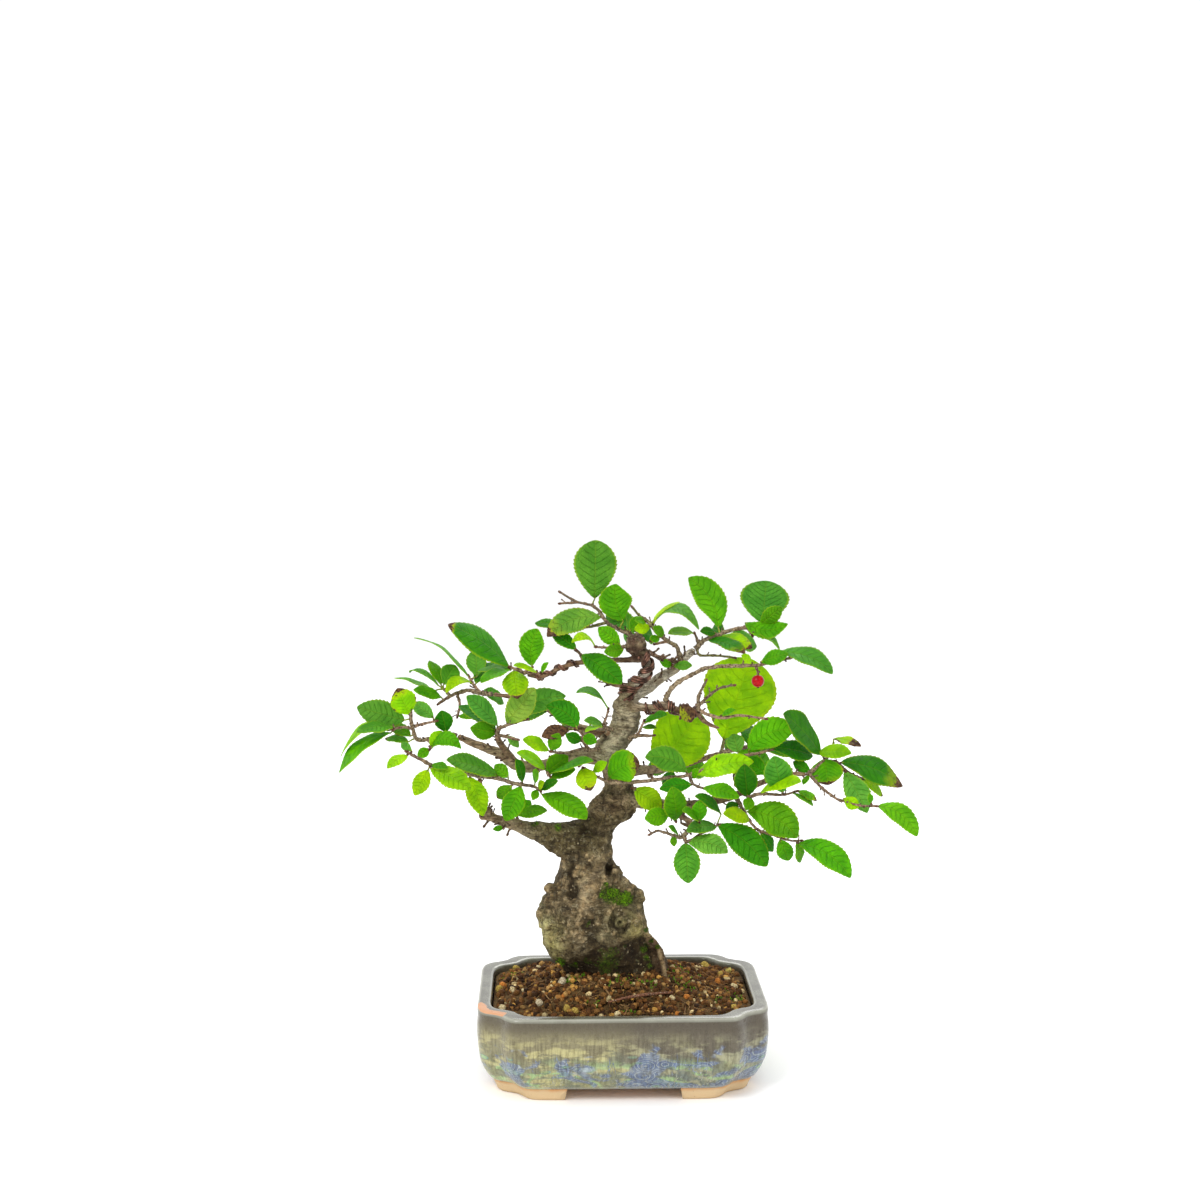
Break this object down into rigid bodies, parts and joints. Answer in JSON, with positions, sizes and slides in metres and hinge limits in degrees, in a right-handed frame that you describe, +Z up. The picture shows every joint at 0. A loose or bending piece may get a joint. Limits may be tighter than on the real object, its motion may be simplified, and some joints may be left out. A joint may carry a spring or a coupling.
{
  "type": "japanese winterberry bonsai in its pot",
  "caption": "Small broadleaf bonsai with a swollen burr trunk, wired branches, toothed leaves and a red berry, in a low rectangular glazed pot with cut corners and feet.",
  "frame": {"origin": "on the surface that the pot stands on, under the middle of the whole piece's bounding box", "axes": "+Z up, +X to the right along the pot's long side, -Y towards the viewer of the pot's front"},
  "size_m": [0.2466, 0.1054, 0.234],
  "materials": {
    "glaze": "mottled glaze over bare clay feet",
    "soil": "loose fired-clay granules",
    "screen": "matt",
    "bark": "rough bark",
    "wire": "copper-brown anodised",
    "leaf": "thin living leaf, slightly waxy",
    "berry": "glossy skin"
  },
  "bodies": {
    "root": {"pot": "glaze", "soil": "soil", "drain_screen_left": "screen", "drain_screen_right": "screen", "trunk": "bark", "berry": "berry", "fallen_twig": "bark", "wire_up_a": "wire", "wire_up_b": "wire", "wire_right": "wire", "wire_left": "wire", "spray_far_left": "leaf", "spray_low_left": "leaf", "spray_low_stub": "leaf", "leaf_low_left": "leaf", "spray_left_mid": "leaf", "spray_left_upper": "leaf", "spray_back_left": "leaf", "spray_wired_left": "leaf", "spray_trunk_left": "leaf", "spray_trunk_upper": "leaf", "spray_under_left": "leaf", "spray_long_shoot": "leaf", "spray_right_inner": "leaf", "spray_right_inner_low": "leaf", "spray_right_low": "leaf", "spray_right_mid": "leaf", "spray_right_knee": "leaf", "leaf_right_knee": "leaf", "spray_far_right": "leaf", "spray_back_right": "leaf", "spray_back_inner": "leaf", "spray_back_middle": "leaf", "spray_crown_top": "leaf", "spray_crown_back": "leaf", "spray_crown_front": "leaf", "spray_knob": "leaf", "spray_crown_right": "leaf", "spray_upper_right": "leaf", "spray_berry": "leaf", "twigs_right": "leaf", "leaf_branch_right": "leaf", "spray_trunk_right": "leaf", "leaves_branch_back": "leaf"}
  },
  "joints": []
}
